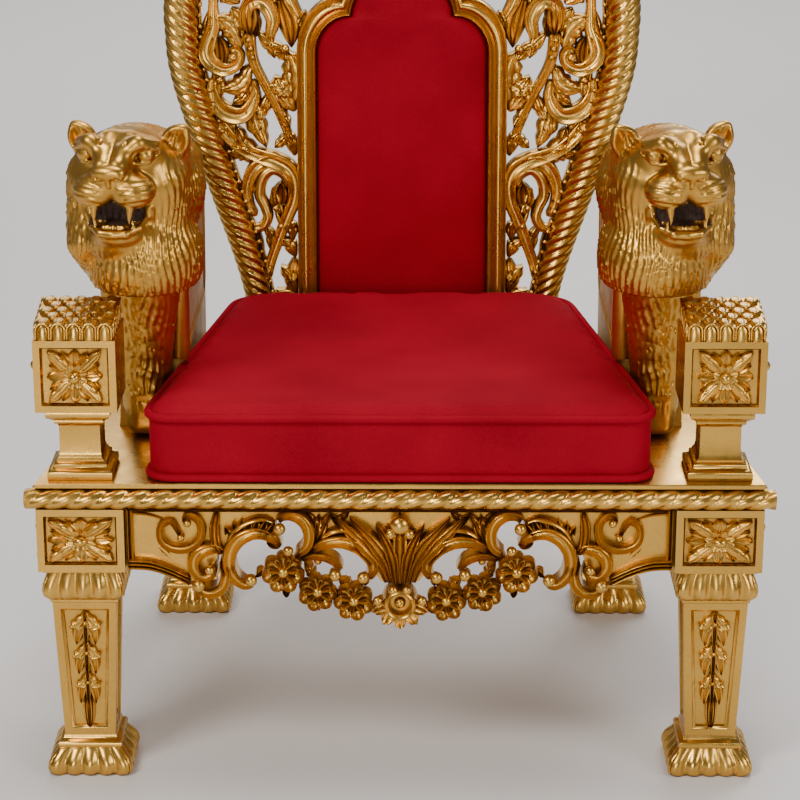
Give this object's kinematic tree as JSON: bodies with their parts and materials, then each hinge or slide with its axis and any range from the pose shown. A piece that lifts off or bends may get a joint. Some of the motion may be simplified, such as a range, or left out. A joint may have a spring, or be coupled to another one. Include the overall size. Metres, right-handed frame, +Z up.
{
  "type": "throne",
  "caption": "Carved and gilded throne: lion arms on rosette posts, pierced apron, twisted rope borders, pierced scroll back, red velvet seat cushion and back pad.",
  "frame": {"origin": "on the floor, under the middle of the throne's box", "axes": "+Z up, -Y the way the throne faces, +X to the right as seen from the front"},
  "size_m": [0.922, 0.6944, 1.3674],
  "materials": {
    "gilded_wood": "gold paint over carved wood, worn bright on the edges and brown in the hollows",
    "gilded_wood_inside": "plain gold paint on hidden boards",
    "red_velvet": "short-pile velvet with welted seams"
  },
  "bodies": {
    "root": {"leg_front_left": "gilded_wood", "leg_front_right": "gilded_wood", "leg_rear_left": "gilded_wood", "leg_rear_right": "gilded_wood", "seat_deck": "gilded_wood", "rope_moulding_front": "gilded_wood", "rope_moulding_left": "gilded_wood", "rope_moulding_right": "gilded_wood", "front_apron": "gilded_wood", "arm_post_left": "gilded_wood", "arm_post_right": "gilded_wood", "lion_left": "gilded_wood", "lion_right": "gilded_wood", "back_frame": "gilded_wood", "back_rope_left": "gilded_wood", "back_rope_right": "gilded_wood", "side_rail_left": "gilded_wood_inside", "side_rail_right": "gilded_wood_inside", "rear_rail": "gilded_wood_inside", "back_board": "gilded_wood_inside", "seat_cushion": "red_velvet", "back_pad": "red_velvet"}
  },
  "joints": []
}
